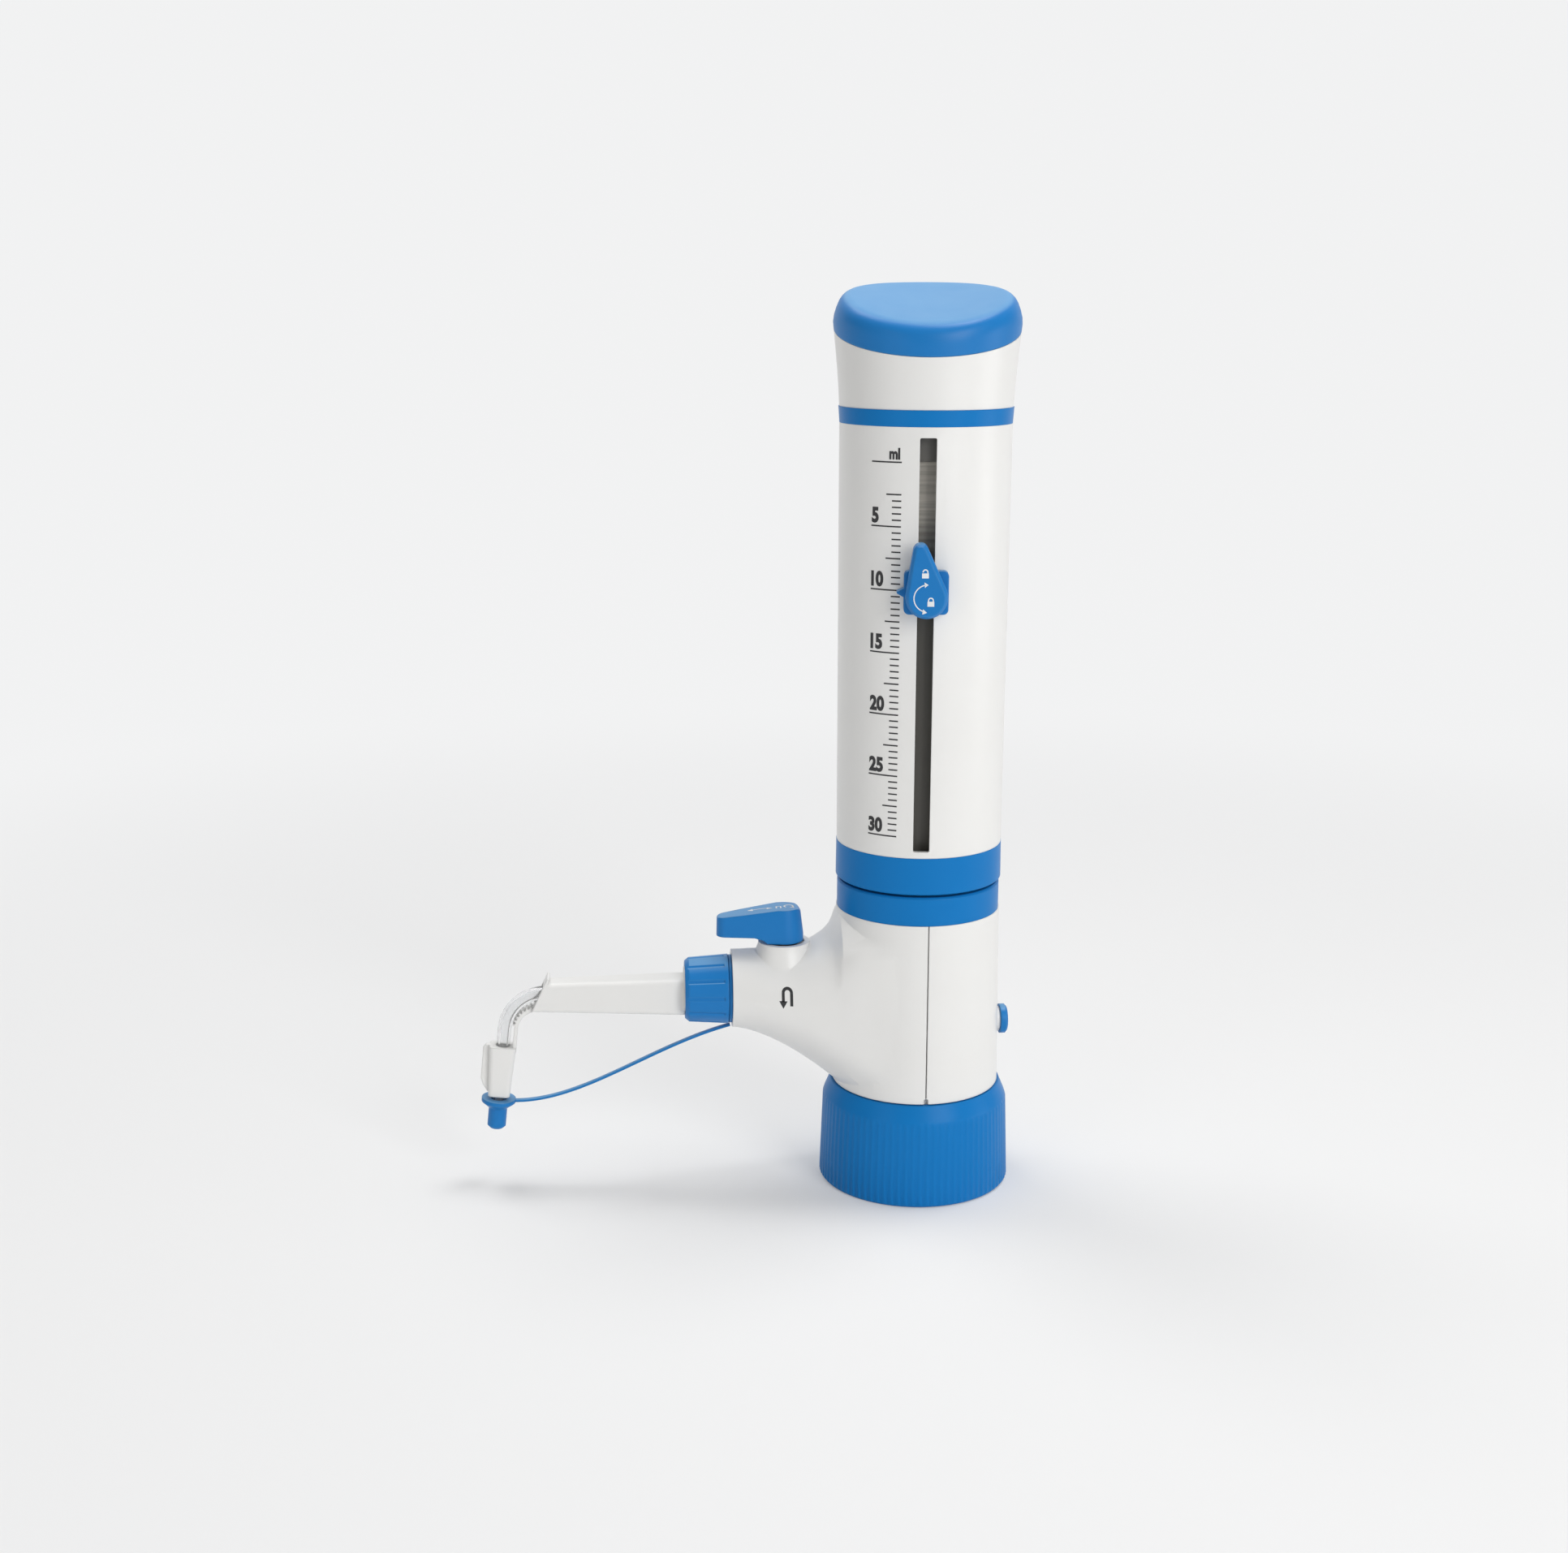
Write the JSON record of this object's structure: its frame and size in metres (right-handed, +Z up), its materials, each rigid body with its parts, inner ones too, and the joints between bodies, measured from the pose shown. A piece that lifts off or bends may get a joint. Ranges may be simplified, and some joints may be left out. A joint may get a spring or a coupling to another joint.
{
  "type": "bottle-top dispenser",
  "caption": "Hand pump that screws on a lab bottle: ribbed collar, side nozzle with valve lever and capped tip, lifting sleeve with a sliding volume stop.",
  "frame": {"origin": "centre of the bottle thread at the collar's foot, where the part stands", "axes": "+Z up the pump axis, -X along the nozzle, -Y towards the scale and the housing's seam"},
  "size_m": [0.1585, 0.0616, 0.2639],
  "materials": {
    "blue_plastic": "moulded, half gloss",
    "white_plastic": "moulded, half gloss",
    "dark_plastic": "moulded, matt",
    "natural_plastic": "turned fluoropolymer",
    "steel": "turned",
    "glass": "polished",
    "clear_tube": "clear, smooth",
    "rubber": "moulded"
  },
  "bodies": {
    "base": {"housing_front": "white_plastic", "housing_rear": "white_plastic", "valve_block": "natural_plastic", "foot_flange": "natural_plastic", "bottle_seal": "rubber", "suction_valve": "natural_plastic", "suction_nipple": "natural_plastic", "return_nipple": "natural_plastic", "discharge_valve": "natural_plastic", "spindle_seal": "rubber", "glass_cylinder": "glass", "cylinder_seal": "rubber", "lower_ring": "blue_plastic", "guard_tube": "dark_plastic", "rod_guide": "dark_plastic", "union_nut": "blue_plastic", "nozzle_shroud": "white_plastic", "discharge_tube": "clear_tube", "cap_strap": "blue_plastic", "tube_ferrule": "natural_plastic"},
    "collar": {"bottle_collar": "blue_plastic"},
    "sleeve_unit": {"sleeve": "white_plastic", "skirt_ring": "blue_plastic", "accent_ring": "blue_plastic", "head_shell": "white_plastic", "head_cap": "blue_plastic", "head_plate": "dark_plastic", "piston_rod": "steel", "rod_nut": "steel", "piston": "natural_plastic", "piston_seal": "natural_plastic"},
    "slider": {"slider_block": "blue_plastic", "clamp_shaft": "steel", "stop_dog": "dark_plastic"},
    "lock": {"lock_lever": "blue_plastic"},
    "tap": {"valve_lever": "blue_plastic", "valve_spindle": "natural_plastic"},
    "cap": {"tip_cap": "blue_plastic"},
    "vent": {"vent_plug": "blue_plastic"},
    "suction_ball": {"suction_ball": "glass"},
    "discharge_ball": {"discharge_ball": "glass"}
  },
  "joints": [
    {"name": "collar_turn", "type": "hinge", "parent": "base", "child": "collar", "pos_m": [0, 0, 0.015], "axis": [0, 0, 1], "continuous": true},
    {"name": "sleeve_lift", "type": "slide", "parent": "base", "child": "sleeve_unit", "axis": [0, 0, 1], "range_m": [0, 0.1052]},
    {"name": "volume_slide", "type": "slide", "parent": "sleeve_unit", "child": "slider", "axis": [0, 0, 1], "range_m": [-0.0701, 0.0263]},
    {"name": "lock_turn", "type": "hinge", "parent": "slider", "child": "lock", "pos_m": [-0.00303, -0.02743, 0.18013], "axis": [-0.1097, -0.994, 0], "range_deg": [0, 90]},
    {"name": "tap_turn", "type": "hinge", "parent": "base", "child": "tap", "pos_m": [-0.0397, 0, 0.079], "axis": [0, 0, 1], "range_deg": [0, 90]},
    {"name": "tip_cap_pull", "type": "slide", "parent": "base", "child": "cap", "axis": [-0.1045, 0, -0.9945], "range_m": [0, 0.012], "deforming": ["cap_strap"]},
    {"name": "vent_pull", "type": "slide", "parent": "base", "child": "vent", "axis": [1, 0, 0], "range_m": [0, 0.01]},
    {"name": "suction_ball_lift", "type": "slide", "parent": "base", "child": "suction_ball", "axis": [0, 0, 1], "range_m": [0, 0.0012]},
    {"name": "discharge_ball_lift", "type": "slide", "parent": "base", "child": "discharge_ball", "axis": [0, 0, 1], "range_m": [0, 0.0012]}
  ]
}
